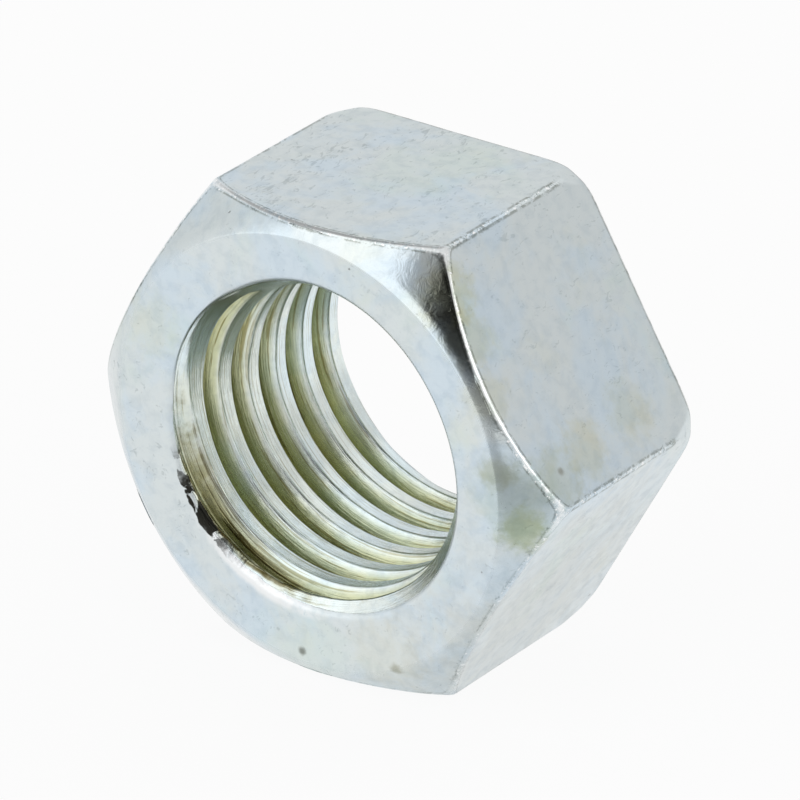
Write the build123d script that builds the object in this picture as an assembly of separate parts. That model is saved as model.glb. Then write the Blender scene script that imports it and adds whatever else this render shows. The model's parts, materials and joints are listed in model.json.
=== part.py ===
from build123d import *
from build123d.topology import SkipClean
import os
from math import ceil, cos, floor, radians, sin, sqrt, tan

# One-piece hexagon nut with a left-hand M10 x 1.25 thread, standing on one of its flats.
# The thread axis lies along Y. The chamfered front face looks to -Y, the bearing face to +Y.
# The origin is on the thread axis, half way between the two faces. All sizes are in millimetres.

# Hexagon
ACROSS_FLATS = 14.0
HEIGHT = 7.75
CORNER_RADIUS = 0.2

# Turned chamfer around the front face. Its slope grows by CHAMFER_CROWN degrees on its way out.
FRONT_CIRCLE = 13.3
CHAMFER_ANGLE = 42.0
CHAMFER_CROWN = 12.0
FRONT_BLEND = 0.3

# Corners that fade in just before the bearing face, and the soft edge around that face
REAR_CORNER_CIRCLE = 15.56
REAR_FADE = 1.15
REAR_FADE_CROWN = 18.0
REAR_EDGE_RADIUS = 0.2

# Thread
MAJOR_DIAMETER = 10.0
MINOR_DIAMETER = 8.85
PITCH = 1.25
FLANK_ANGLE = 30.0
GROOVE_ROOT = PITCH / 8
GROOVE_START = -0.41

# Countersinks at the two mouths of the bore
FRONT_MOUTH = 10.2
FRONT_MOUTH_ANGLE = 60.0
FRONT_MOUTH_BLEND = 0.15
REAR_MOUTH = 9.6
REAR_MOUTH_ANGLE = 120.0

# How far cutting shapes reach past the surface that they cut
OVERCUT = 1.0
GROOVE_OVERCUT = 0.12

FRONT_Z = -HEIGHT / 2
REAR_Z = HEIGHT / 2
CORNER_REACH = (ACROSS_FLATS / 2 - CORNER_RADIUS) / cos(radians(30)) + CORNER_RADIUS


def hexagon_bar():
    """Hexagon bar along Z with two flats square to Y and slightly rounded long edges."""
    outline = RegularPolygon(ACROSS_FLATS / 2, 6, major_radius=False, rotation=0)
    outline = fillet(outline.vertices(), CORNER_RADIUS)
    return extrude(outline, HEIGHT / 2, both=True)


def arc_about(centre, start, end):
    """The short arc round a centre from start to end."""
    outward = (start - centre) + (end - centre)
    middle = centre + outward.normalized() * (start - centre).length
    return ThreePointArc(start, middle, end)


def front_arcs(outer):
    """The front chamfer's crowned slope and its blend into the face, out to a radius."""
    half = ACROSS_FLATS / 2
    steepest = radians(CHAMFER_ANGLE - CHAMFER_CROWN / 2)
    start_depth = (half - FRONT_CIRCLE / 2) * tan(radians(CHAMFER_ANGLE))
    chord = (CORNER_REACH - half) / cos(radians(CHAMFER_ANGLE))
    crown = chord / (2 * sin(radians(CHAMFER_CROWN / 2)))
    crown_centre = Vector(half - crown * sin(steepest), FRONT_Z + start_depth + crown * cos(steepest))
    fall = crown_centre.Y - (FRONT_Z + FRONT_BLEND)
    reach = sqrt((crown - FRONT_BLEND) ** 2 - fall**2)
    blend_centre = Vector(crown_centre.X + reach, FRONT_Z + FRONT_BLEND)
    face_end = Vector(blend_centre.X, FRONT_Z)
    meeting = crown_centre + (blend_centre - crown_centre).normalized() * crown
    over = outer - crown_centre.X
    outer_end = Vector(outer, crown_centre.Y - sqrt(crown**2 - over**2))
    return arc_about(blend_centre, face_end, meeting), arc_about(crown_centre, meeting, outer_end)


def rear_arc():
    """The crowned slope that takes the rear corners in, from just outside them to the face."""
    end = Vector(REAR_CORNER_CIRCLE / 2, REAR_Z)
    start = Vector(CORNER_REACH, REAR_Z - REAR_FADE)
    along = end - start
    radius = along.length / (2 * sin(radians(REAR_FADE_CROWN / 2)))
    inward = Vector(-along.Y, along.X).normalized()
    centre = (start + end) / 2 + inward * radius * cos(radians(REAR_FADE_CROWN / 2))
    return arc_about(centre, start, end)


def turned_outline():
    """Round body that trims the bar's corners: the front chamfer and the fading rear corners."""
    outer = CORNER_REACH + OVERCUT
    blend, slope = front_arcs(outer)
    fade = rear_arc()
    outside = Polyline(slope @ 1, (outer, (fade @ 0).Y - OVERCUT), fade @ 0)
    across = Polyline(fade @ 1, (0, REAR_Z), (0, FRONT_Z), blend @ 0)
    profile = make_face([blend, slope, *outside.edges(), fade, *across.edges()])
    return revolve(Plane.XZ * profile, Axis.Z)


def outer_body():
    """Solid nut blank with its corners turned and its rear edge softened."""
    blank = hexagon_bar() & turned_outline()
    rear_rim = blank.faces().sort_by(Axis.Z)[-1].edges()
    return fillet(rear_rim, REAR_EDGE_RADIUS)


def mouth(diameter, angle, face_z):
    """Countersink cone whose wide end lies on the face at face_z, reaching a little past it."""
    slope = tan(radians(angle / 2))
    wide = diameter / 2
    narrow = MINOR_DIAMETER / 2 - GROOVE_OVERCUT
    inward = 1 if face_z < 0 else -1
    profile = Plane.XZ * Polygon(
        (0, face_z - inward * OVERCUT),
        (wide + OVERCUT * slope, face_z - inward * OVERCUT),
        (narrow, face_z + inward * (wide - narrow) / slope),
        (0, face_z + inward * (wide - narrow) / slope),
        align=None,
    )
    return revolve(profile, Axis.Z)


def blank_with_mouths():
    """The blank with both countersinks, the front one with a soft outer edge."""
    blank = outer_body()
    blank -= mouth(REAR_MOUTH, REAR_MOUTH_ANGLE, REAR_Z)
    blank -= mouth(FRONT_MOUTH, FRONT_MOUTH_ANGLE, FRONT_Z)
    front_face = blank.faces().sort_by(Axis.Z)[0]
    mouth_edge = front_face.edges().sort_by(SortBy.LENGTH)[0]
    return fillet(mouth_edge, FRONT_MOUTH_BLEND)


def bore():
    """Plain bore at the minor diameter, its wall kept in quarters for the thread's crest."""
    length = HEIGHT + 2 * OVERCUT
    start = Plane((0, 0, -length / 2))
    quarter = Solid.make_cylinder(MINOR_DIAMETER / 2, length, start, 90)
    quarters = [Rot(Z=45 + 90 * index) * quarter for index in range(4)]
    return quarters[0].fuse(*quarters[1:])


def thread_turn():
    """One turn of the left-hand V groove with its flat root, starting at z = 0 on the X axis."""
    root_radius = MAJOR_DIAMETER / 2
    inner_radius = MINOR_DIAMETER / 2 - GROOVE_OVERCUT
    root_half = GROOVE_ROOT / 2
    inner_half = root_half + (root_radius - inner_radius) * tan(radians(FLANK_ANGLE))
    profile = Plane.XZ * Polygon(
        (root_radius, root_half),
        (root_radius, -root_half),
        (inner_radius, -inner_half),
        (inner_radius, inner_half),
        align=None,
    )
    path = Helix(PITCH, PITCH, root_radius, lefthand=True)
    return sweep(profile, path, is_frenet=True)


def cut_thread(nut):
    """Cut the groove turn by turn from in front of the front face to behind the rear face."""
    turn = thread_turn()
    first = floor((FRONT_Z - GROOVE_START) / PITCH) - 1
    last = ceil((REAR_Z - GROOVE_START) / PITCH)
    for index in range(first, last + 1):
        nut = nut.cut(Pos(Z=GROOVE_START + index * PITCH) * turn)
    return nut


def hex_nut():
    """The nut with its axis along Z: blank, countersinks, bore, then the thread."""
    blank = blank_with_mouths()
    with SkipClean():
        return cut_thread(blank.cut(bore()))


def stand_on_flat(nut):
    """Turn the thread axis from Z to Y, so that the nut stands on one flat, front to -Y."""
    return Rot(X=-90) * nut


os.makedirs("parts", exist_ok=True)
export_step(stand_on_flat(hex_nut()), "parts/hex_nut.step")
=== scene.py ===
import json
import math

import bpy
from mathutils import Matrix, Vector


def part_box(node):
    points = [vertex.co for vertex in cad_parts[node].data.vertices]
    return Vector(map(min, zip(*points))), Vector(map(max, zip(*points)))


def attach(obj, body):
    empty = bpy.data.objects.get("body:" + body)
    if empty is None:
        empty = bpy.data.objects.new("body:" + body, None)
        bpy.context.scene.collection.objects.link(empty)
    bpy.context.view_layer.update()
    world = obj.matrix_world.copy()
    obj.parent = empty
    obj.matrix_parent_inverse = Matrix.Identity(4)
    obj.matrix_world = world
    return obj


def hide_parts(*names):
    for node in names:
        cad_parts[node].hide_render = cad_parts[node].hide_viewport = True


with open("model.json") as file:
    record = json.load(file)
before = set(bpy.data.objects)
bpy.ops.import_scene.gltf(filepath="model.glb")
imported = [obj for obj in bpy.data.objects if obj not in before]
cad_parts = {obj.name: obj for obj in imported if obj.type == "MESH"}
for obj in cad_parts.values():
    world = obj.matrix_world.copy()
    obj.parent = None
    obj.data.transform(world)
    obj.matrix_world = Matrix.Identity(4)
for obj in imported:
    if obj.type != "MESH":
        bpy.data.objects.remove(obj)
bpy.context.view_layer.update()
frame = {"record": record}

bl_info = {
    "name": "Hexagon Nut",
    "version": (1, 0, 0),
    "blender": (4, 5, 0),
    "location": "View3D > Sidebar > Nut",
    "description": "Zinc-plated hexagon nut with a left-hand thread, built around its solid model",
    "category": "Object",
}

MM = 0.001
TURN = 2 * math.pi
NODE = "hex_nut"
LOW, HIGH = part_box(NODE)
THREAD = next(mount for mount in frame["record"]["mounts"] if mount["name"] == "thread")
# In millimetres
CREST_DIAMETER = 2 * THREAD["dims"]["r_mm"]
THREAD_PITCH = 1.25


# Node tree helpers

class Field:
    """A value inside a node tree. Signs and calls on it add Math nodes to that tree."""

    def __init__(self, tree, source):
        self.tree = tree
        self.source = source

    def math(self, operation, *others):
        node = self.tree.nodes.new("ShaderNodeMath")
        node.operation = operation
        for socket, value in zip(node.inputs, (self, *others)):
            plug(self.tree, value, socket)
        return Field(self.tree, node.outputs[0])

    def __add__(self, other):
        return self.math("ADD", other)

    __radd__ = __add__

    def __sub__(self, other):
        return self.math("SUBTRACT", other)

    def __rsub__(self, other):
        return Field(self.tree, other).math("SUBTRACT", self)

    def __mul__(self, other):
        return self.math("MULTIPLY", other)

    __rmul__ = __mul__

    def __truediv__(self, other):
        return self.math("DIVIDE", other)

    def __neg__(self):
        return self.math("MULTIPLY", -1.0)

    def __gt__(self, other):
        return self.math("GREATER_THAN", other)


def plug(tree, value, socket):
    """Put a field, a socket or a plain value into a node's input."""
    if isinstance(value, Field):
        value = value.source
    if isinstance(value, bpy.types.NodeSocket):
        tree.links.new(value, socket)
    else:
        socket.default_value = value


def sin(x):
    return x.math("SINE")


def cos(x):
    return x.math("COSINE")


def tan(x):
    return x.math("TANGENT")


def root(x):
    return x.math("SQRT")


def floor(x):
    return x.math("FLOOR")


def absolute(x):
    return x.math("ABSOLUTE")


def least(a, b):
    return a.math("MINIMUM", b)


def most(a, b):
    return a.math("MAXIMUM", b)


def soft_least(a, b, reach):
    return a.math("SMOOTH_MIN", b, reach)


def soft_most(a, b, reach):
    return a.math("SMOOTH_MAX", b, reach)


def mix(a, b, share):
    return a + (-a + b) * share


def ease(x):
    """Slow near 0 and 1, so that rows crowd together at both ends of a band."""
    return 0.5 - cos(x * math.pi) * 0.5


def add_node(tree, kind, inputs=None, **settings):
    """Add a node, set its properties, and fill its inputs by name or number."""
    node = tree.nodes.new(kind)
    for name, value in settings.items():
        setattr(node, name, value)
    for name, value in (inputs or {}).items():
        plug(tree, value, node.inputs[name])
    return node


def make(tree, kind, inputs=None, output=0, **settings):
    """An output of a new node."""
    return Field(tree, add_node(tree, kind, inputs, **settings).outputs[output])


def parts_of(vector):
    """The x, y and z of a vector."""
    axes = add_node(vector.tree, "ShaderNodeSeparateXYZ", {"Vector": vector})
    return [Field(vector.tree, output) for output in axes.outputs]


def combined(x, y, z):
    """A vector from three values."""
    return make(x.tree, "ShaderNodeCombineXYZ", {"X": x, "Y": y, "Z": z})


def scaled(vector, scale):
    """A vector times a number."""
    return make(vector.tree, "ShaderNodeVectorMath", {0: vector, "Scale": scale}, operation="SCALE")


def measured(operation, vector, other):
    """A number from two vectors, such as their distance."""
    inputs = {0: vector, 1: other}
    return make(vector.tree, "ShaderNodeVectorMath", inputs, "Value", operation=operation)


def noise(vector, scale, detail=2.0, roughness=0.5, distortion=0.0):
    inputs = {"Vector": vector, "Scale": scale, "Detail": detail, "Roughness": roughness}
    return make(vector.tree, "ShaderNodeTexNoise", {**inputs, "Distortion": distortion})


def ramp(value, low, high):
    """0 at low, 1 at high, smooth between; low may be the larger one."""
    inputs = {"Value": value, "From Min": low, "From Max": high}
    return make(value.tree, "ShaderNodeMapRange", inputs, interpolation_type="SMOOTHSTEP")


NODE_STEP_ACROSS = 200
NODE_STEP_DOWN = 180


def arrange(tree):
    """Lay the nodes out from left to right by how deep they sit in the tree."""
    depth = {node: 0 for node in tree.nodes}
    for _ in range(len(tree.nodes)):
        moved = False
        for link in tree.links:
            if depth[link.to_node] <= depth[link.from_node]:
                depth[link.to_node] = depth[link.from_node] + 1
                moved = True
        if not moved:
            break
    filled = {}
    for node in tree.nodes:
        column = depth[node]
        filled[column] = filled.get(column, 0) + 1
        node.location = (column * NODE_STEP_ACROSS, -filled[column] * NODE_STEP_DOWN)


# Properties

def length(label, text, millimetres):
    return bpy.props.FloatProperty(
        name=label, description=text, default=millimetres * MM, min=0.0, precision=5, subtype="DISTANCE",
        unit="LENGTH",
    )


def angle(label, text, degrees):
    return bpy.props.FloatProperty(
        name=label, description=text, default=math.radians(degrees), subtype="ANGLE", unit="ROTATION"
    )


def colour(label, text, default):
    return bpy.props.FloatVectorProperty(
        name=label, description=text, default=default, size=3, min=0.0, max=1.0, subtype="COLOR"
    )


class HexNutSizes(bpy.types.PropertyGroup):
    across_flats: length("Across Flats", "Width between two opposite flats", (HIGH.z - LOW.z) / MM)
    height: length("Height", "Height of the nut along its thread", (HIGH.y - LOW.y) / MM)
    corner_radius: length("Corner Radius", "Rounding of the six long edges", 0.2)
    front_circle: length("Front Circle", "Diameter where the chamfer would meet the front face", 13.41)
    chamfer_angle: angle("Chamfer Angle", "Mean slope of the front chamfer", 42)
    chamfer_crown: angle("Chamfer Crown", "How much the chamfer's slope grows towards the corners", 4)
    front_blend: length("Front Blend", "Radius of the chamfer's inner part", 2.0)
    front_cut: length("Front Cut", "How far the front face is cut back into that inner part", 0.249)
    edge_reach: length("Edge Reach", "How far the rounding reaches from the front edges", 0.09)
    rear_circle: length("Rear Circle", "Diameter of the turned corners at the bearing face", 15.56)
    rear_fade: length("Rear Fade", "Length over which the rear corners fade", 1.0)
    rear_edge: length("Rear Edge", "Rounding of the edge around the bearing face", 0.2)
    unevenness: length("Unevenness", "Depth of the slow waves in the pressed surfaces", 0.012)


class ThreadSizes(bpy.types.PropertyGroup):
    minor_diameter: length("Minor Diameter", "Diameter over the thread's crests", CREST_DIAMETER)
    major_diameter: length("Major Diameter", "Diameter at the groove's root", 10.0)
    pitch: length("Pitch", "Advance of the thread in one turn", THREAD_PITCH)
    flank_angle: angle("Flank Angle", "Slope of each side of the groove", 30)
    groove_start: length("Groove Start", "The groove's distance in front of the nut's middle, on +X", 0.41)
    front_mouth: length("Front Mouth", "Diameter of the countersink at the front face", 10.15)
    front_mouth_angle: angle("Front Mouth Angle", "Half of the front countersink's mean angle", 40)
    mouth_tilt: angle("Mouth Tilt", "How much steeper the countersink is at its upper right", 16)
    mouth_reach: length("Mouth Reach", "How far the rounding reaches from the front mouth's edge", 0.12)
    mouth_shift_x: length("Mouth Shift X", "How far the front countersink sits off the axis along X", 0.164)
    mouth_shift_z: length("Mouth Shift Z", "How far the front countersink sits off the axis along Z", 0.149)
    mouth_oval: length("Mouth Oval", "How far the front mouth is off round, twice round it", 0.078)
    mouth_lobes: length("Mouth Lobes", "How far the front mouth is off round, three times round it", 0.059)
    entry_cut: length("Entry Cut", "How far the first crests are cut away at the upper left", 0.38)
    entry_angle: angle("Entry Angle", "Slope of the cut crests to the axis", 16)
    burr: length("Burr", "How ragged the front mouth's lower left edge is", 0.07)
    rear_mouth: length("Rear Mouth", "Diameter of the countersink at the bearing face", 9.6)
    rear_mouth_angle: angle("Rear Mouth Angle", "Half of the rear countersink's angle", 60)
    softness: length("Softness", "Rounding between the groove, its crest and the countersinks", 0.06)


class ZincColours(bpy.types.PropertyGroup):
    zinc: colour("Zinc", "Colour of the plating", (0.725, 0.782, 0.79))


class StudioSettings(bpy.types.PropertyGroup):
    floor_colour: colour("Floor Colour", "Colour of the floor", (0.85, 0.85, 0.85))


def labelled_fields(group):
    """Name and label of every property in a group."""
    return [(name, item.keywords["name"]) for name, item in group.__annotations__.items()]


# Shape

SHAPE_INPUTS = [label for group in (HexNutSizes, ThreadSizes) for _, label in labelled_fields(group)]
FLATS = 6
HALF_FLAT = TURN / (2 * FLATS)
COLUMNS_PER_FLAT = 64
CORNER_CROWDING = 0.8
MERGE_DISTANCE = 0.001 * MM
WAVES_PER_METRE = 0.45 / MM

# Rows of each band, from the front mouth round the outside to the rear mouth
ROWS = {
    "front lip": 10, "front face": 8, "blend": 14, "chamfer": 10, "front edge": 6, "flat": 14,
    "fade bend": 4, "fade": 3, "rear edge": 7, "rear face": 9, "rear lip": 4,
}
ROWS_PER_TURN = 20
ROWS["bore"] = (math.ceil((HIGH.y - LOW.y) / (THREAD_PITCH * MM)) + 1) * ROWS_PER_TURN
# Row positions from the groove's middle to the crest's middle, crowded where the thread bends
ROW_SPACING = (0.0, 0.088, 0.125, 0.168, 0.32, 0.48, 0.6, 0.656, 0.712, 0.832, 1.0)
# Half the width of the groove's flat root, as a share of the pitch
HALF_ROOT = 1 / 16
# How the blend's rows crowd towards the front face
BLEND_CROWDING = 1.7

# Half the width of the rounding between the front face and the chamfer
FACE_EDGE = 0.05 * MM
# The front edge's rounding grows by this share at a corner, starting at this angle from it
CORNER_WIDENING = 1.6
CORNER_START = math.radians(7)
# The front mouth's rounding grows by this share at its top
LIP_WIDENING = 1.2

# Places round the axis, from +X towards +Z, of the front mouth's faults
OVAL_AT = math.radians(61)
LOBES_AT = math.radians(90)
BURR_AT = math.radians(228)
STEEPEST_AT = math.radians(70)
ENTRY_AT = math.radians(140)
ENTRY_DEPTH = 0.9 * MM
# The burr's noise is read round a ring of this radius
BURR_RING = 4.4
BURR_NOISE = {"scale": 1.6, "detail": 4.0, "roughness": 0.7}
BURR_GAIN = 4

# The groove's colour: where it starts behind the front face in mm, its growth, where it ends off the thread
GROOVE_COLOUR_START = 0.35
GROOVE_COLOUR_RISE = 1.6
GROOVE_COLOUR_OFF = MM / 8

# The rear fade's least length, its softness, and the rear mouth's rounding, in rear edge roundings
LEAST_FADE = 2.2
REAR_SOFTNESS = 1.5
REAR_LIP = 0.3
# Share of the fade that its bend reaches to each side
FADE_BEND = 0.4
# Distance from an edge, in mm, that the masks of wear read at the fade's bend, the fade and the rear edge
FADE_BEND_EDGE = 0.3
FADE_EDGE = 0.25
REAR_EDGE = 0.12


class NutShape:
    """The geometry node tree that makes the nut from bands of a grid bent round its axis."""

    def __init__(self, name, material):
        self.tree = bpy.data.node_groups.new(name, "GeometryNodeTree")
        add_socket = self.tree.interface.new_socket
        add_socket("Geometry", in_out="OUTPUT", socket_type="NodeSocketGeometry")
        for label in SHAPE_INPUTS:
            add_socket(label, in_out="INPUT", socket_type="NodeSocketFloat")
        source = self.tree.nodes.new("NodeGroupInput")
        self.size = {label: Field(self.tree, source.outputs[label]) for label in SHAPE_INPUTS}
        self.bands = []
        self.place_columns()
        self.measure_hexagon()
        self.measure_mouth()
        self.measure_chamfer()
        self.front_side()
        self.rear_side()
        self.bore_side()
        self.finish(material)

    def place_columns(self):
        """The angle round the axis and the share of a band's rows, for each point of a grid."""
        x, y, _ = parts_of(make(self.tree, "GeometryNodeInputPosition"))
        self.share = x + 0.5
        along = (y + 0.5) * FLATS
        sector = floor(along)
        inside = along - sector
        crowded = inside - sin(inside * TURN) * (CORNER_CROWDING / TURN)
        self.theta = (sector + crowded) * (TURN / FLATS)
        self.cos_theta = cos(self.theta)
        self.sin_theta = sin(self.theta)
        self.off_flat = absolute((crowded - 0.5) * (TURN / FLATS))
        self.to_corner = HALF_FLAT - self.off_flat

    def measure_hexagon(self):
        """The hexagon's distance from the axis at each angle, with its rounded corners."""
        self.back = self.size["Height"] / 2
        self.front = -self.back
        half = self.size["Across Flats"] / 2
        corner = self.size["Corner Radius"]
        centre = (half - corner) / math.cos(HALF_FLAT)
        flat = half / cos(self.off_flat)
        aside = centre * sin(self.to_corner)
        curved = centre * cos(self.to_corner) + root(most(corner * corner - aside * aside, 0.0))
        past_tangent = half * tan(self.off_flat) > (half - corner) * math.tan(HALF_FLAT)
        self.half = half
        self.corner_reach = centre + corner
        self.outline = mix(flat, curved, past_tangent)

    def measure_mouth(self):
        """The front mouth's radius at each angle: off the axis, off round and ragged at its lower left."""
        shift = self.cos_theta * self.size["Mouth Shift X"] + self.sin_theta * self.size["Mouth Shift Z"]
        oval = cos((self.theta - OVAL_AT) * 2) * self.size["Mouth Oval"]
        lobes = cos((self.theta - LOBES_AT) * 3) * self.size["Mouth Lobes"]
        ring = combined(self.cos_theta * BURR_RING, self.sin_theta * BURR_RING, 0.0)
        side = most(cos(self.theta - BURR_AT), 0.0)
        ragged = (noise(ring, **BURR_NOISE) - 0.5) * side * side * self.size["Burr"] * BURR_GAIN
        self.lip = self.size["Front Mouth"] / 2 + shift + oval + lobes + ragged

    def measure_chamfer(self):
        """The arcs of the turned front: the inner part, cut back at the face, then a crowned slope."""
        mean = self.size["Chamfer Angle"]
        crown = self.size["Chamfer Crown"] / 2
        blend = self.size["Front Blend"]
        start_depth = (self.half - self.size["Front Circle"] / 2) * tan(mean)
        chord = (self.corner_reach - self.half) / cos(mean)
        self.crown_radius = chord / (sin(crown) * 2)
        self.crown_r = self.half - self.crown_radius * sin(mean - crown)
        self.crown_y = start_depth + self.crown_radius * cos(mean - crown)
        self.blend_y = blend - self.size["Front Cut"]
        between = self.crown_radius - blend
        fall = self.crown_y - self.blend_y
        reach = root(between * between - fall * fall)
        self.blend_r = self.crown_r + reach
        self.meet_r = self.crown_r + reach * self.crown_radius / between
        self.face_end = self.blend_r + root(blend * blend - self.blend_y * self.blend_y) - FACE_EDGE

    def front_depth(self, radius):
        """How far the turned front lies behind the front face at a radius."""
        blend = self.size["Front Blend"]
        out = most(radius - self.blend_r, 0.0)
        blended = soft_most(self.blend_y - root(most(blend * blend - out * out, 0.0)), 0.0, FACE_EDGE / 2)
        over = radius - self.crown_r
        crowned = self.crown_y - root(self.crown_radius * self.crown_radius - over * over)
        return mix(blended, crowned, radius > self.meet_r)

    def turns_at(self, y):
        """How many turns lie between y and the groove's start, at this angle."""
        return (y + self.size["Groove Start"]) / self.size["Pitch"] - self.theta / TURN

    def thread_radius(self, y):
        """Radius of the thread at y, with no countersink."""
        size = self.size
        soft = size["Softness"]
        groove = self.turns_at(y)
        aside = absolute(groove - floor(groove + 0.5)) * size["Pitch"]
        major = size["Major Diameter"] / 2
        slope = major - (aside - size["Pitch"] * HALF_ROOT) / tan(size["Flank Angle"])
        return soft_most(soft_least(slope, major, soft), size["Minor Diameter"] / 2, soft)

    def bore_radius(self, y):
        """Radius of the bore at y: the thread, or a countersink where that is wider."""
        size = self.size
        soft = size["Softness"]
        inward = y - self.front
        lean = cos(self.theta - STEEPEST_AT) * size["Mouth Tilt"]
        front = self.lip - inward * tan(size["Front Mouth Angle"] - lean)
        lobe = most(cos(self.theta - ENTRY_AT), 0.0)
        lobe = lobe * lobe * lobe * lobe
        taper = tan(size["Entry Angle"] * lobe * lobe)
        entry = size["Minor Diameter"] / 2 + lobe * size["Entry Cut"] - (inward - ENTRY_DEPTH) * taper
        rear = size["Rear Mouth"] / 2 - (self.back - y) * tan(size["Rear Mouth Angle"])
        front = soft_most(front, least(entry, self.lip), soft)
        return soft_most(soft_most(self.thread_radius(y), front, soft), rear, soft)

    def groove_depth(self, y, radius):
        """1 at the groove's root and 0 at the crests, at the front and off the thread."""
        thread = self.thread_radius(y)
        minor = self.size["Minor Diameter"] / 2
        major = self.size["Major Diameter"] / 2
        behind = ((y - self.front) / MM - GROOVE_COLOUR_START) * GROOVE_COLOUR_RISE
        depth = (thread - minor) / (major - minor) * least(most(behind, 0.0), 1.0)
        return depth * (1.0 - least(absolute(radius - thread) / GROOVE_COLOUR_OFF, 1.0))

    def band(self, name, radius, y, **masks):
        """Bend one grid round the axis, with its points at the given radius and y."""
        points = {"Vertices X": ROWS[name] + 1, "Vertices Y": FLATS * COLUMNS_PER_FLAT + 1}
        mesh = make(self.tree, "GeometryNodeMeshGrid", {"Size X": 1.0, "Size Y": 1.0, **points})
        for label, value in masks.items():
            inputs = {"Geometry": mesh, "Name": label, "Value": value}
            mesh = make(self.tree, "GeometryNodeStoreNamedAttribute", inputs)
        place = combined(radius * self.cos_theta, y, radius * self.sin_theta)
        self.bands.append(make(self.tree, "GeometryNodeSetPosition", {"Geometry": mesh, "Position": place}))

    def corner(self, name, start, middle, end, **masks):
        """A band that rounds the corner at the middle point."""
        into = [mix(a, b, self.share) for a, b in zip(start, middle)]
        out = [mix(b, c, self.share) for b, c in zip(middle, end)]
        self.band(name, mix(into[0], out[0], self.share), mix(into[1], out[1], self.share), **masks)

    def front_side(self):
        """Front mouth's rounding, front face, chamfer, and the edge between chamfer and flats."""
        upward = most(self.sin_theta, 0.0)
        reach = self.size["Mouth Reach"] * (1.0 + upward * upward * LIP_WIDENING)
        lip = self.lip
        self.mouth_y = self.front + reach * cos(self.size["Front Mouth Angle"])
        self.corner(
            "front lip",
            (self.bore_radius(self.mouth_y), self.mouth_y), (lip, self.front), (lip + reach, self.front),
            mouth=1.0 - self.share, across=self.share, edge=1.0, rim=1.0 - self.share * reach / MM,
        )
        face_r = mix(lip + reach, self.face_end, ease(self.share))
        self.band(
            "front face", face_r, self.front,
            face=1.0, edge=(self.outline - face_r) / MM, rim=1.0 - (face_r - lip) / MM,
        )
        blend_r = mix(self.face_end, self.meet_r, self.share.math("POWER", BLEND_CROWDING))
        self.band(
            "blend", blend_r, self.front + self.front_depth(blend_r),
            chamfer=self.share, edge=(self.outline - blend_r) / MM,
        )
        near_corner = most(1.0 - self.to_corner / CORNER_START, 0.0)
        self.edge = self.size["Edge Reach"] * (1.0 + near_corner * near_corner * CORNER_WIDENING)
        inner = self.outline - self.edge
        cone_r = mix(self.meet_r, inner, self.share)
        self.band(
            "chamfer", cone_r, self.front + self.front_depth(cone_r),
            chamfer=1.0, edge=(self.outline - cone_r) / MM,
        )
        self.edge_y = self.front + self.front_depth(self.outline)
        self.corner(
            "front edge",
            (inner, self.front + self.front_depth(inner)), (self.outline, self.edge_y),
            (self.outline, self.edge_y + self.edge),
            ridge=sin(self.share * math.pi), chamfer=1.0 - self.share,
        )

    def rear_side(self):
        """Flats, fading rear corners, rear edge, bearing face and the rear mouth's rounding."""
        rear_r = self.size["Rear Circle"] / 2
        round_off = self.size["Rear Edge"]
        excess = most((self.outline - rear_r) / (self.corner_reach - rear_r), 0.0)
        turn_y = self.back - most(self.size["Rear Fade"] * excess, round_off * LEAST_FADE)
        end_r = soft_least(self.outline, rear_r, round_off * REAR_SOFTNESS)
        bend = (self.back - turn_y) * FADE_BEND
        side_y = mix(self.edge_y + self.edge, turn_y - bend, ease(self.share))
        aside = self.outline * sin(self.to_corner)
        self.band(
            "flat", self.outline, side_y,
            flat=1.0, edge=least(least(aside, side_y - self.edge_y), self.back - side_y) / MM,
        )
        slope = (end_r - self.outline) / (self.back - turn_y)
        bent = (self.outline + slope * bend, turn_y + bend)
        self.corner(
            "fade bend", (self.outline, turn_y - bend), (self.outline, turn_y), bent,
            flat=1.0, edge=least(aside / MM + self.share * FADE_BEND_EDGE, FADE_BEND_EDGE),
        )
        stop = (end_r - slope * round_off, self.back - round_off)
        fading = [mix(a, b, self.share) for a, b in zip(bent, stop)]
        self.band("fade", *fading, flat=1.0, edge=FADE_EDGE)
        self.corner(
            "rear edge", stop, (end_r, self.back), (end_r - round_off, self.back),
            ridge=sin(self.share * math.pi), flat=1.0 - self.share, edge=REAR_EDGE,
        )
        lip = self.bore_radius(self.back)
        lip_reach = round_off * REAR_LIP
        face_r = mix(end_r - round_off, lip + lip_reach, ease(self.share))
        self.band("rear face", face_r, self.back, face=1.0, edge=(end_r - face_r) / MM)
        self.lip_y = self.back - lip_reach
        self.corner(
            "rear lip",
            (lip + lip_reach, self.back), (lip, self.back), (self.bore_radius(self.lip_y), self.lip_y),
            mouth=self.share, across=self.share, edge=1.0,
        )

    def spaced_rows(self, part):
        """Move evenly spaced rows of one turn to where the thread bends."""
        half_part = part.math("PINGPONG", 0.5) * 2
        curve = add_node(self.tree, "ShaderNodeFloatCurve", {"Value": half_part})
        points = curve.mapping.curves[0].points
        while len(points) < len(ROW_SPACING):
            points.new(0.5, 0.5)
        for index, value in enumerate(ROW_SPACING):
            points[index].location = (index / (len(ROW_SPACING) - 1), value)
            points[index].handle_type = "VECTOR"
        curve.mapping.update()
        spaced = Field(self.tree, curve.outputs[0]) / 2
        return mix(spaced, 1.0 - spaced, part > 0.5)

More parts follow.
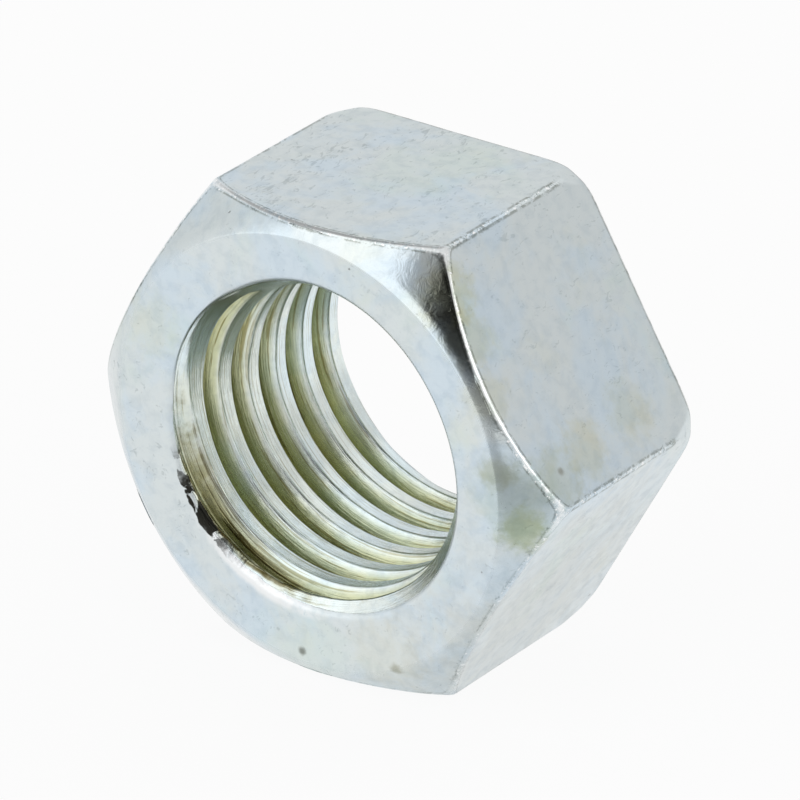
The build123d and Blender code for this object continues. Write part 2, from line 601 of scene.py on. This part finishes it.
    def bore_side(self):
        """The thread, on rows that climb with it. Rows past a mouth fold up on that mouth's edge."""
        size = self.size
        row = floor((1.0 - self.share) * ROWS["bore"] + 0.5) / ROWS_PER_TURN
        whole = floor(row)
        within = self.spaced_rows(row - whole)
        lowest = floor((self.front + size["Groove Start"]) / size["Pitch"]) - 1
        y = (lowest + whole + within + self.theta / TURN) * size["Pitch"] - size["Groove Start"]
        y = most(least(y, self.lip_y), self.mouth_y)
        radius = self.bore_radius(y)
        angle_in_turn = self.turns_at(y) * TURN
        reach = size["Pitch"] / (TURN * MM)
        self.band(
            "bore", radius, y, depth=self.groove_depth(y, radius), bore=1.0, edge=1.0,
            rim=1.0 - (y - self.mouth_y) / MM,
            across=cos(angle_in_turn) * reach, along=sin(angle_in_turn) * reach,
        )

    def finish(self, material):
        """Join the bands, close them, press slow waves into them, and set the material."""
        tree = self.tree
        join = tree.nodes.new("GeometryNodeJoinGeometry")
        for mesh in reversed(self.bands):
            plug(tree, mesh, join.inputs[0])
        waves = noise(make(tree, "GeometryNodeInputPosition"), WAVES_PER_METRE)
        offset = scaled(make(tree, "GeometryNodeInputNormal"), -(waves * self.size["Unevenness"]))
        mesh = join.outputs[0]
        for kind, inputs in (
            ("MergeByDistance", {"Distance": MERGE_DISTANCE}),
            ("SetPosition", {"Offset": offset}),
            ("SetShadeSmooth", {}),
            ("RealizeInstances", {}),
            ("SetMaterial", {"Material": material}),
        ):
            mesh = make(tree, "GeometryNode" + kind, {"Geometry": mesh, **inputs})
        add_node(tree, "NodeGroupOutput", {0: mesh})
        arrange(tree)


def add_object(name, data):
    item = bpy.data.objects.new(name, data)
    bpy.context.scene.collection.objects.link(item)
    return item


def make_from_tree(name, tree, values):
    """Evaluate a geometry node tree once and keep the result as a plain mesh object."""
    carrier = add_object(name + "_carrier", bpy.data.meshes.new(name + "_carrier"))
    modifier = carrier.modifiers.new("Shape", "NODES")
    modifier.node_group = tree
    sockets = {item.name: item.identifier for item in tree.interface.items_tree if item.in_out == "INPUT"}
    for label, value in values.items():
        modifier[sockets[label]] = value
    bpy.context.view_layer.update()
    evaluated = carrier.evaluated_get(bpy.context.evaluated_depsgraph_get())
    mesh = bpy.data.meshes.new_from_object(evaluated)
    mesh.name = name
    bpy.data.objects.remove(carrier)
    return add_object(name, mesh)


# Material effects

class Effect:
    """A shader node group with named inputs, whose output is a mask or a height."""

    def __init__(self, name, inputs, output="Mask"):
        self.output = output
        self.group = bpy.data.node_groups.new(name, "ShaderNodeTree")
        add_socket = self.group.interface.new_socket
        add_socket("Vector", in_out="INPUT", socket_type="NodeSocketVector").hide_value = True
        for label, default in inputs.items():
            kind = "NodeSocketVector" if isinstance(default, tuple) else "NodeSocketFloat"
            add_socket(label, in_out="INPUT", socket_type=kind).default_value = default
        add_socket(output, in_out="OUTPUT", socket_type="NodeSocketFloat")
        self.source = self.group.nodes.new("NodeGroupInput")
        self.vector = self.get("Vector")

    def get(self, label):
        return Field(self.group, self.source.outputs[label])

    def finish(self, field):
        """Send a field to the output and lay the nodes out."""
        add_node(self.group, "NodeGroupOutput", {self.output: field})
        arrange(self.group)
        return self

    def use(self, vector, **values):
        """Place the effect in a vector's tree and return its output."""
        node = add_node(vector.tree, "ShaderNodeGroup", node_tree=self.group, label=self.group.name)
        plug(vector.tree, vector, node.inputs["Vector"])
        for label, value in values.items():
            plug(vector.tree, value, node.inputs[label.title()])
        return Field(vector.tree, node.outputs[self.output])


def shifted(vector, offset, stretch=(1.0, 1.0, 1.0)):
    """A vector moved and stretched, so that one effect looks different in another place."""
    inputs = {"Vector": vector, "Location": offset, "Scale": stretch}
    return make(vector.tree, "ShaderNodeMapping", inputs)


def plating_clouds():
    """Soft cloudy patches of the passivated surface."""
    effect = Effect("Plating Clouds", {"Scale": 0.5, "Low": 0.45, "High": 0.65})
    cloud = noise(effect.vector, effect.get("Scale"), detail=4.0, roughness=0.6, distortion=0.4)
    return effect.finish(ramp(cloud, effect.get("Low"), effect.get("High")))


def pressed_grain():
    """Fine wrinkled relief of pressed and barrel-plated steel."""
    broad_scale, broad_share, fine_share = 0.35, 0.55, 0.45
    effect = Effect("Pressed Grain", {"Scale": 6.0}, "Height")
    broad = noise(effect.vector, effect.get("Scale") * broad_scale)
    fine = noise(effect.vector, effect.get("Scale"), detail=5.0, roughness=0.65, distortion=0.6)
    return effect.finish(broad * broad_share + fine * fine_share)


def flecks():
    """Short dark strokes and specks, in clusters."""
    level, gain, cluster_scale, cluster_gain, fade = 0.74, 0.22, 0.12, 0.25, 0.07
    effect = Effect("Flecks", {"Scale": 7.0, "Amount": 0.5})
    stroke = noise(effect.vector, effect.get("Scale"), detail=3.0, roughness=0.7, distortion=1.2)
    cluster = noise(effect.vector, effect.get("Scale") * cluster_scale)
    start = level - effect.get("Amount") * gain - (cluster - 0.5) * cluster_gain
    return effect.finish(ramp(stroke, start, start + fade))


def pits():
    """Scattered tiny round pits of different sizes."""
    least_pick, core = 0.35, 0.45
    effect = Effect("Pits", {"Scale": 1.6, "Size": 0.06})
    cells = add_node(
        effect.group, "ShaderNodeTexVoronoi",
        {"Vector": effect.vector, "Scale": effect.get("Scale"), "Randomness": 1.0},
    )
    pick = make(effect.group, "ShaderNodeSeparateColor", {"Color": cells.outputs["Color"]})
    size = effect.get("Size") * ramp(pick, least_pick, 1.0)
    return effect.finish(ramp(Field(effect.group, cells.outputs["Distance"]), size, size * core))


def sparkle():
    """Small broken dots for painted glints, as on a worn edge."""
    level, gain, fade = 0.75, 0.3, 0.06
    effect = Effect("Sparkle", {"Scale": 14.0, "Amount": 0.5})
    dots = noise(effect.vector, effect.get("Scale"), roughness=0.6)
    start = level - effect.get("Amount") * gain
    return effect.finish(ramp(dots, start, start + fade))


def stain():
    """One soft patch round a place on the nut. A noise given as Rough makes its outline ragged."""
    ragged_share, core = 1.4, 0.3
    effect = Effect("Stain", {"Middle": (0.0, 0.0, 0.0), "Radius": 1.0, "Rough": 0.5})
    radius = effect.get("Radius")
    ragged = (effect.get("Rough") - 0.5) * radius * ragged_share
    reach = measured("DISTANCE", effect.vector, effect.get("Middle")) + ragged
    return effect.finish(ramp(reach, radius, radius * core))


def scar():
    """Torn spots close to the front mouth's edge, which the relief dents and the colour paints near black
    as a dark reflection.
    """
    near_share, near_gain, level, fade = 0.4, 0.35, 0.76, 0.05
    effect = Effect("Scar", {"Rim": 0.0, "Scale": 1.5, "Reach": 0.16})
    torn = noise(effect.vector, effect.get("Scale"), detail=3.0, roughness=0.55, distortion=0.5)
    reach = effect.get("Reach")
    near = ramp(effect.get("Rim"), 1.0 - reach, 1.0 - reach * near_share)
    return effect.finish(ramp(torn + near * near_gain, level, level + fade))


def tap_marks():
    """Fine lines that run along the thread, from the tap that cut it."""
    round_scale, climb_scale = 0.25, 0.4
    effect = Effect("Tap Marks", {"Across": 0.0, "Along": 0.0, "Fineness": 5.0}, "Height")
    x, y, z = parts_of(effect.vector)
    across, along = (effect.get(label) * effect.get("Fineness") for label in ("Across", "Along"))
    lines = make(
        effect.group, "ShaderNodeTexNoise",
        {"Vector": combined(x * round_scale, z * round_scale, across), "W": along + y * climb_scale,
         "Scale": 1.0, "Detail": 4.0, "Roughness": 0.7},
        noise_dimensions="4D",
    )
    return effect.finish(lines)


# Zinc plate

# Masks that the shape stores on the mesh
STORED = (
    "bore", "depth", "mouth", "chamfer", "flat", "face", "edge", "ridge", "rim", "across", "along",
)
# Clouds: where the pattern is taken from, its scale per mm, and the levels between which it fades in
CLOUDS = {
    "blue": ((0.0, 0.0, 0.0), 0.35, 0.42, 0.62),
    "green": ((11.0, 3.0, 7.0), 0.3, 0.50, 0.70),
    "yellow": ((3.0, 17.0, 5.0), 0.4, 0.56, 0.76),
    "mottle": ((7.0, 9.0, 23.0), 2.4, 0.40, 0.72),
    "rubbed_and_sheen": ((0.0, 0.0, 0.0), 2.5, 0.36, 0.56),
    "broken": ((0.0, 0.0, 0.0), 3.5, 0.40, 0.55),
}
# Places on the photographed nut: middle and radius in mm
SPOTS = {
    "polished": ((2.4, -3.6, 6.2), 5.5),
    "burnt": ((-2.9, -3.4, -3.6), 4.2),
    # Where the painted highlight on the burr lies
    "burr": ((-1.9, -3.8, -4.7), 3.0),
    # Where the torn spots painted as a dark reflection lie
    "scar": ((-3.85, -3.8, -2.75), 2.2),
}
# Where masks fade in, from the first value to the second. Places and distances are in mm.
FADES = {
    "upper": (-1.5, 0.3), "top": (6.4, 6.9), "front": (2.4, 0.2),
    "near edge": (0.22, 0.02), "painted_glint": (0.10, 0.02), "seam": (0.03, 0.06), "seam end": (0.15, 0.09),
    "rubbed_and_sheen": (0.25, 0.85), "streaks": (0.545, 0.6), "olive": (0.02, 0.5), "root": (0.5, 1.0),
    "burnt": (0.15, 0.4), "burnt start": (1.0, 0.93), "burnt lines": (0.47, 0.53),
    "burr": (0.66, 0.86), "burr highlight patches": (0.36, 0.46),
}
# Share of the surface that strokes take: everywhere, and more on flats, the top flat and faces
STROKES = {"all": 0.45, "flat": 0.12, "top": 0.17, "face": 0.07}
# The grain and the strokes are drawn out along the nut
DRAWN_OUT = (1.0, 0.45, 1.0)

WORN_OFFSET = (5.0, 0.0, 2.0)
# Strength of the painted shade on the rear edge's rounding
REAR_EDGE_SHADE_GAIN = 1.8
# Strength of the streaks on the crests, and what the grooves add to it
STREAKS = (0.5, 0.4)

# Stains on the photographed nut, and a broad painted shade on its lower side: middle and radius in mm,
# tint, strength
STAINS_AND_SHADE = (
    ((4.6, -3.2, 6.0), 1.2, (0.93, 0.88, 0.70), 0.9),
    ((5.3, -3.2, 4.8), 1.1, (0.93, 0.89, 0.74), 0.8),
    ((6.1, -3.5, 3.4), 1.0, (0.93, 0.90, 0.78), 0.7),
    ((7.5, -0.9, 1.0), 1.2, (0.93, 0.88, 0.74), 0.8),
    ((7.3, 1.4, 1.4), 1.2, (0.93, 0.89, 0.76), 0.7),
    ((7.6, -2.4, 0.8), 1.2, (0.88, 0.86, 0.76), 0.8),
    ((-5.4, -3.9, 2.6), 1.4, (1.0, 0.97, 0.86), 0.8),
    ((6.5, -3.7, 1.3), 0.8, (0.72, 0.69, 0.54), 0.7),
    ((7.2, -3.4, -0.5), 0.9, (0.80, 0.80, 0.55), 0.8),
    ((7.0, -3.4, 0.4), 1.7, (0.86, 0.88, 0.82), 0.9),
    ((2.6, -3.875, -5.6), 1.6, (1.0, 0.97, 0.90), 0.7),
    # Painted shade: a broad darkening of the lower right side and its chamfer
    ((7.0, -0.5, -6.0), 6.5, (0.90, 0.885, 0.865), 1.0),
    ((-0.3, -3.875, -6.29), 0.2, (0.40, 0.39, 0.37), 1.0),
    ((2.98, -3.875, -5.89), 0.3, (0.60, 0.58, 0.50), 0.8),
    ((7.54, -2.16, 0.93), 0.2, (0.55, 0.50, 0.45), 0.8),
)
# Masks that multiply the zinc's colour: name, tint, strength
TINTS = (
    ("blue", (0.93, 0.985, 1.06), 1.0),
    ("green", (0.97, 1.0, 0.965), 1.0),
    ("yellow", (1.02, 0.99, 0.90), 0.5),
    ("mottle", (0.88, 0.90, 0.92), 0.85),
    ("dull chamfer", (0.83, 0.84, 0.84), 1.0),
    ("strokes", (0.66, 0.68, 0.68), 0.45),
    ("specks", (0.52, 0.50, 0.48), 0.8),
    ("worn", (0.50, 0.51, 0.50), 0.9),
    ("seam", (0.58, 0.58, 0.55), 1.0),
    # Painted shade along the rounding of the rear edge
    ("rear edge", (0.42, 0.42, 0.39), 1.0),
    ("bore", (1.14, 1.13, 1.07), 1.0),
    ("olive", (0.72, 0.70, 0.48), 1.0),
    ("streaks", (0.50, 0.45, 0.28), 1.0),
    ("root", (0.80, 0.77, 0.58), 1.0),
    ("burnt", (0.62, 0.57, 0.40), 1.0),
    ("burnt lines", (0.26, 0.22, 0.12), 1.0),
)
# Masks that lay a colour over it, in this order: name, colour, strength
PAINTS = (
    # Painted highlight on the burr at the lower left lip
    ("burr", (0.95, 0.96, 0.96), 0.9),
    # Rubbing on the upper ridges, with a painted highlight
    ("rubbed_and_sheen", (0.92, 0.93, 0.93), 0.7),
    # Painted glints along the front edges
    ("painted_glint", (0.95, 0.96, 0.96), 1.0),
    # Torn spots at the lower left lip, painted near black as a dark reflection
    ("scars_and_dark_reflection", (0.03, 0.03, 0.025), 1.0),
)
# Roughness of the plating, and what each mask adds to it
ROUGHNESS = 0.30
ROUGHNESS_CHANGES = {"chamfer": -0.19, "bore": -0.10, "strokes": 0.15, "mottle": 0.05, "rubbed_and_sheen": -0.08}
# Height of each mask's relief in mm
RELIEF = {"grain": 0.026, "lines": 0.015, "specks": -0.02, "scars_and_dark_reflection": -0.04}


def fade(value, name):
    return ramp(value, *FADES[name])


def at_least(share, mask):
    """A mask lifted so that it falls no lower than a share."""
    return mask * (1.0 - share) + share


def blend(kind, base, shade, share):
    """Multiply a colour by a shade, or lay the shade over it, by a share of 0 to 1."""
    node = add_node(share.tree, "ShaderNodeMix", data_type="RGBA", blend_type=kind)
    for index, value in ((0, share), (6, base), (7, (*shade, 1.0))):
        plug(share.tree, value, node.inputs[index])
    return node.outputs[2]


class ZincPlate:
    """Bright zinc plating with its faint clouds, grain, pits, stains, worn edges and olive thread, and
    painted glints, highlights and shade.
    """

    def __init__(self, colours):
        self.material = bpy.data.materials.new("Zinc Plate")
        self.material.use_nodes = True
        self.tree = self.material.node_tree
        self.place = scaled(make(self.tree, "ShaderNodeTexCoord", output="Object"), 1.0 / MM)
        self.rough = noise(self.place, 1.5, detail=4.0, roughness=0.65)
        self.cloud = plating_clouds()
        self.fleck = flecks()
        self.stain = stain()
        self.mask = {}
        self.read_surface()
        self.mark_outside()
        self.mark_edges()
        self.mark_thread()
        self.mark_lip()
        self.finish((*colours.zinc, 1.0))

    def clouds(self, name):
        offset, scale, low, high = CLOUDS[name]
        return self.cloud.use(shifted(self.place, offset), scale=scale, low=low, high=high)

    def spot(self, middle, radius):
        return self.stain.use(self.place, middle=middle, radius=radius, rough=self.rough)

    def read_surface(self):
        """The masks that the shape stores on the mesh, and the zones that follow from them."""
        mask = self.mask
        for name in STORED:
            mask[name] = make(self.tree, "ShaderNodeAttribute", output="Fac", attribute_name=name)
        _, y, z = parts_of(self.place)
        self.inside = most(mask["bore"], mask["mouth"])
        self.outside = 1.0 - self.inside
        self.upper = fade(z, "upper")
        self.top = fade(z, "top")
        self.kept = most(self.upper, fade(y, "front"))
        self.calm = at_least(0.4, 1.0 - mask["flat"] * (1.0 - self.upper))

    def mark_outside(self):
        """Clouds, strokes, specks and grain."""
        mask = self.mask
        mask["blue"] = self.clouds("blue") * self.calm
        mask["green"] = self.clouds("green") * self.outside
        mask["yellow"] = self.clouds("yellow") * self.outside
        mask["mottle"] = self.clouds("mottle")
        mask["dull chamfer"] = mask["chamfer"] * (1.0 - self.spot(*SPOTS["polished"]))
        drawn = shifted(self.place, (0.0, 0.0, 0.0), DRAWN_OUT)
        amount = mask["flat"] * (self.top * STROKES["top"] + STROKES["flat"])
        amount = amount + mask["face"] * STROKES["face"] + STROKES["all"]
        mask["strokes"] = self.fleck.use(drawn, scale=5.0, amount=amount) * self.outside * self.calm
        mask["specks"] = pits().use(self.place, scale=1.1, size=0.075) * self.outside
        grain = pressed_grain().use(drawn, scale=3.2) * self.outside
        mask["grain"] = grain * at_least(0.4, 1.0 - mask["chamfer"])

    def mark_edges(self):
        """Wear, painted glints and broken dark seams along the edges, rubbing with a painted highlight on
        the upper ridges, and painted shade on the rear edge.
        """
        mask, upper = self.mask, self.upper
        edge, ridge = mask["edge"], mask["ridge"]
        front = self.outside * self.kept
        worn = self.fleck.use(shifted(self.place, WORN_OFFSET), scale=8.0, amount=0.85)
        mask["worn"] = worn * fade(edge, "near edge") * front * at_least(0.3, 1.0 - ridge)
        broken = self.clouds("broken")
        seam = fade(edge, "seam") * fade(edge, "seam end") * broken * front
        mask["seam"] = seam * (1.0 - ridge) * at_least(0.3, upper)
        # Painted shade along the rounding of the rear edge
        mask["rear edge"] = least(ridge * mask["flat"] * REAR_EDGE_SHADE_GAIN, 1.0) * at_least(0.4, broken)
        # Upper ridges: rubbing, with a painted highlight
        mask["rubbed_and_sheen"] = self.clouds("rubbed_and_sheen") * fade(ridge, "rubbed_and_sheen") * upper
        # Painted glints close to the front edges, stronger on the upper side
        painted_glint = sparkle().use(self.place, scale=8.0, amount=0.55)
        mask["painted_glint"] = painted_glint * fade(edge, "painted_glint") * front * at_least(0.4, upper)

    def mark_thread(self):
        """Olive grooves, and the lines and streaks that the tap left."""
        mask = self.mask
        lines = tap_marks().use(self.place, across=mask["across"], along=mask["along"], fineness=20.0)
        mask["lines"] = lines * self.inside
        mask["olive"] = fade(mask["depth"], "olive") * mask["bore"]
        mask["root"] = fade(mask["depth"], "root") * mask["bore"]
        mask["streaks"] = fade(mask["lines"], "streaks") * (mask["olive"] * STREAKS[1] + STREAKS[0])

    def mark_lip(self):
        """The burnt band inside the front mouth's lower left edge, a painted highlight on the burr there,
        and the scar, dented and painted black as a dark reflection.
        """
        mask = self.mask
        rim = mask["rim"]
        burnt = self.spot(*SPOTS["burnt"]) * fade(rim, "burnt") * fade(rim, "burnt start")
        mask["burnt"] = burnt * mask["bore"]
        mask["burnt lines"] = burnt * fade(mask["lines"], "burnt lines") * self.inside
        # A painted highlight on the burr at the lower left lip
        burr = self.spot(*SPOTS["burr"]) * fade(rim, "burr") * (1.0 - mask["bore"])
        mask["burr"] = burr * fade(self.rough, "burr highlight patches")
        # Torn spots at the lip: dents in the relief, and painted near black as a dark reflection
        mask["scars_and_dark_reflection"] = scar().use(self.place, rim=rim) * self.spot(*SPOTS["scar"])

    def weighted(self, weights, total=0.0):
        """The sum of the named masks, each times its weight."""
        for name, weight in weights.items():
            total = self.mask[name] * weight + total
        return total

    def finish(self, base):
        """Join colour, roughness and relief to the shader."""
        for middle, radius, shade, strength in STAINS_AND_SHADE:
            base = blend("MULTIPLY", base, shade, self.spot(middle, radius) * strength)
        for kind, layers in (("MULTIPLY", TINTS), ("MIX", PAINTS)):
            for name, shade, strength in layers:
                base = blend(kind, base, shade, self.mask[name] * strength)
        bump = add_node(
            self.tree, "ShaderNodeBump", {"Strength": 1.0, "Distance": MM, "Height": self.weighted(RELIEF)}
        )
        shader = self.tree.nodes["Principled BSDF"]
        for label, value in (
            ("Metallic", 1.0), ("Base Color", base), ("Normal", bump.outputs["Normal"]),
            ("Roughness", self.weighted(ROUGHNESS_CHANGES, ROUGHNESS)),
        ):
            plug(self.tree, value, shader.inputs[label])
        arrange(self.tree)


# Stage

# The camera's direction in degrees, its roll, and where it looks
CAMERA_AZIMUTH = 36.846
CAMERA_ELEVATION = 26.166
CAMERA_ROLL = math.radians(-0.967)
CAMERA_DISTANCE = 272.0 * MM
CAMERA_LENS = 432.6
CAMERA_SENSOR = 36.0
CAMERA_CLIP = (0.01, 10.0)
AIM_RIGHT = 0.326 * MM
AIM_UP = 0.127 * MM

FLOOR_HALF = 0.6
# Share of plain white in what the camera and reflections see of the floor
FLOOR_GLOW = 0.92
# A dark card on the floor that only reflections see, in strips along and across its heading, in mm
CARD_HEADING = 32
CARD_ACROSS = (18, 5)
CARD_ALONG = (12, 28)
CARD_GAIN = -0.42


def heading(azimuth, elevation):
    """Unit vector of a direction in degrees, with the azimuth from -Y towards +X."""
    flat = math.cos(math.radians(elevation))
    around = math.radians(azimuth)
    return Vector((math.sin(around) * flat, -math.cos(around) * flat, math.sin(math.radians(elevation))))


TENT_LEVEL = 0.95
# Bright panel in front: where its left, right, lower and upper edges fade, in degrees, and its gain
PANEL_LEFT = (-60, -44)
PANEL_RIGHT = (15, 10)
PANEL_BOTTOM = (0, 3)
PANEL_TOP = (66, 52)
PANEL_GAIN = 0.34
# Round patches: azimuth, elevation, the half angles where the fade starts and ends, gain
LIGHT_PATCHES = (
    (87, 21, 8, 26, 1.0), (171, 43, 10, 24, 0.25), (133, 17, 20, 120, -0.22), (-95, 57, 15, 32, -0.5),
)
# Dark opening where the camera stands, its darkest part, and the grey patch at its upper left
OPENING_LEFT = (11, 16)
OPENING_RIGHT = (60, 36)
OPENING_TOP = (62, 48)
OPENING_GAIN = -0.6
OPENING_CORE = (23, 33, 13, 25, -0.85)
GREY_OPENING = (24, 45, 14.9, 18.4, -0.66)


def add_camera():
    """Camera at the photograph's angle."""
    back = heading(CAMERA_AZIMUTH, CAMERA_ELEVATION)
    right = heading(CAMERA_AZIMUTH + 90, 0)
    up = back.cross(right)
    place = back * CAMERA_DISTANCE
    aim = right * AIM_RIGHT + up * AIM_UP
    view = (place - aim).normalized()
    rolled_right = right * math.cos(CAMERA_ROLL) + up * math.sin(CAMERA_ROLL)
    side = (rolled_right - view * rolled_right.dot(view)).normalized()
    above = view.cross(side)
    data = bpy.data.cameras.new("Camera")
    data.lens = CAMERA_LENS
    data.sensor_width = CAMERA_SENSOR
    data.clip_start, data.clip_end = CAMERA_CLIP
    camera = add_object("Camera", data)
    matrix = Matrix((side, above, view)).transposed().to_4x4()
    matrix.translation = place
    camera.matrix_world = matrix
    bpy.context.scene.camera = camera


def floor_card(tree):
    """1 on the dark card that lies on the floor."""
    where = make(tree, "ShaderNodeTexCoord", output="Object")
    along, across = (
        measured("DOT_PRODUCT", where, heading(CARD_HEADING + turn, 0) / MM) for turn in (0, 90)
    )
    return ramp(absolute(across), *CARD_ACROSS) * ramp(along, *CARD_ALONG)


def add_floor(settings):
    """Wide floor under the nut. The camera and reflections see it as white, with its shadow."""
    mesh = bpy.data.meshes.new("floor")
    corners = [(x * FLOOR_HALF, y * FLOOR_HALF, LOW.z) for x, y in ((-1, -1), (1, -1), (1, 1), (-1, 1))]
    mesh.from_pydata(corners, [], [(0, 1, 2, 3)])
    material = bpy.data.materials.new("Studio Floor")
    material.use_nodes = True
    tree = material.node_tree
    tree.nodes.clear()
    diffuse = add_node(tree, "ShaderNodeBsdfDiffuse", {"Color": (*settings.floor_colour, 1.0)})
    camera = make(tree, "ShaderNodeLightPath", output="Is Camera Ray")
    mirrored = make(tree, "ShaderNodeLightPath", output="Is Glossy Ray")
    strength = floor_card(tree) * mirrored * CARD_GAIN + 1.0
    glow = add_node(tree, "ShaderNodeEmission", {"Color": (1.0, 1.0, 1.0, 1.0), "Strength": strength})
    lifted = add_node(
        tree, "ShaderNodeMixShader",
        {0: most(camera, mirrored) * FLOOR_GLOW, 1: diffuse.outputs[0], 2: glow.outputs[0]},
    )
    add_node(tree, "ShaderNodeOutputMaterial", {"Surface": lifted.outputs[0]})
    mesh.materials.append(material)
    add_object("floor", mesh)


def patch_of_sky(direction, azimuth, elevation, inner, outer, gain):
    """The gain inside a patch's cone of directions, fading to 0 at its outer angle."""
    toward = measured("DOT_PRODUCT", direction, heading(azimuth, elevation))
    return ramp(toward, math.cos(math.radians(outer)), math.cos(math.radians(inner))) * gain


def add_surroundings():
    """Pale tent of light with a bright panel in front and a dark opening where the camera stands."""
    world = bpy.data.worlds.new("Studio")
    bpy.context.scene.world = world
    world.use_nodes = True
    tree = world.node_tree
    tree.nodes.clear()
    where = make(tree, "ShaderNodeTexCoord", output="Generated")
    x, y, z = parts_of(where)
    azimuth = x.math("ARCTAN2", -y).math("DEGREES")
    elevation = z.math("ARCSINE").math("DEGREES")
    panel = ramp(azimuth, *PANEL_LEFT) * ramp(azimuth, *PANEL_RIGHT)
    panel = panel * ramp(elevation, *PANEL_BOTTOM) * ramp(elevation, *PANEL_TOP)
    level = panel * PANEL_GAIN + TENT_LEVEL
    for patch in LIGHT_PATCHES:
        level = patch_of_sky(where, *patch) + level
    opening = ramp(azimuth, *OPENING_LEFT) * ramp(azimuth, *OPENING_RIGHT)
    opening = opening * ramp(elevation, *OPENING_TOP)
    lit = level * (opening * OPENING_GAIN + 1.0)
    lit = lit * (patch_of_sky(where, *GREY_OPENING) + 1.0)
    lit = lit * (opening * patch_of_sky(where, *OPENING_CORE) + 1.0)
    seen = make(tree, "ShaderNodeLightPath", output="Is Camera Ray")
    glow = add_node(
        tree, "ShaderNodeBackground", {"Color": (1.0, 1.0, 1.0, 1.0), "Strength": mix(lit, 1.0, seen)}
    )
    add_node(tree, "ShaderNodeOutputWorld", {"Surface": glow.outputs[0]})


# Operators, panel and registration

class NUT_OT_build_nut(bpy.types.Operator):
    """Build the nut and let it stand for its solid"""

    bl_idname = "nut.build_nut"
    bl_label = "Build Nut"

    def execute(self, context):
        scene = context.scene
        material = ZincPlate(scene.zinc_colours).material
        shape = NutShape("Nut Shape", material)
        values = {}
        for group in (scene.hex_nut_sizes, scene.thread_sizes):
            for name, label in labelled_fields(group):
                values[label] = getattr(group, name)
        nut = make_from_tree("plated_nut", shape.tree, values)
        if len(nut.data.polygons) == 0:
            raise RuntimeError("The nut's node tree made no faces")
        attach(nut, "root")
        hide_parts(NODE)
        return {"FINISHED"}


class NUT_OT_build_stage(bpy.types.Operator):
    """Set up the camera, the floor and the light"""

    bl_idname = "nut.build_stage"
    bl_label = "Build Stage"

    def execute(self, context):
        add_camera()
        add_floor(context.scene.studio_settings)
        add_surroundings()
        context.scene.view_settings.view_transform = "Standard"
        return {"FINISHED"}


class NUT_PT_panel(bpy.types.Panel):
    """Sizes, colours and build steps of the nut"""

    bl_label = "Hexagon Nut"
    bl_idname = "NUT_PT_panel"
    bl_space_type = "VIEW_3D"
    bl_region_type = "UI"
    bl_category = "Nut"

    def draw(self, context):
        scene = context.scene
        for label, group in (
            ("Nut", scene.hex_nut_sizes), ("Thread", scene.thread_sizes),
            ("Zinc", scene.zinc_colours), ("Studio", scene.studio_settings),
        ):
            column = self.layout.column(align=True)
            column.label(text=label)
            for name, _ in labelled_fields(group):
                column.prop(group, name)
        self.layout.operator(NUT_OT_build_nut.bl_idname)
        self.layout.operator(NUT_OT_build_stage.bl_idname)


SETTINGS = {
    "hex_nut_sizes": HexNutSizes,
    "thread_sizes": ThreadSizes,
    "zinc_colours": ZincColours,
    "studio_settings": StudioSettings,
}
CLASSES = (*SETTINGS.values(), NUT_OT_build_nut, NUT_OT_build_stage, NUT_PT_panel)


def register():
    for item in CLASSES:
        bpy.utils.register_class(item)
    for name, group in SETTINGS.items():
        setattr(bpy.types.Scene, name, bpy.props.PointerProperty(type=group))


def unregister():
    for name in SETTINGS:
        delattr(bpy.types.Scene, name)
    for item in reversed(CLASSES):
        bpy.utils.unregister_class(item)


def main():
    register()
    bpy.ops.nut.build_nut()
    bpy.ops.nut.build_stage()


if __name__ == "__main__":
    main()
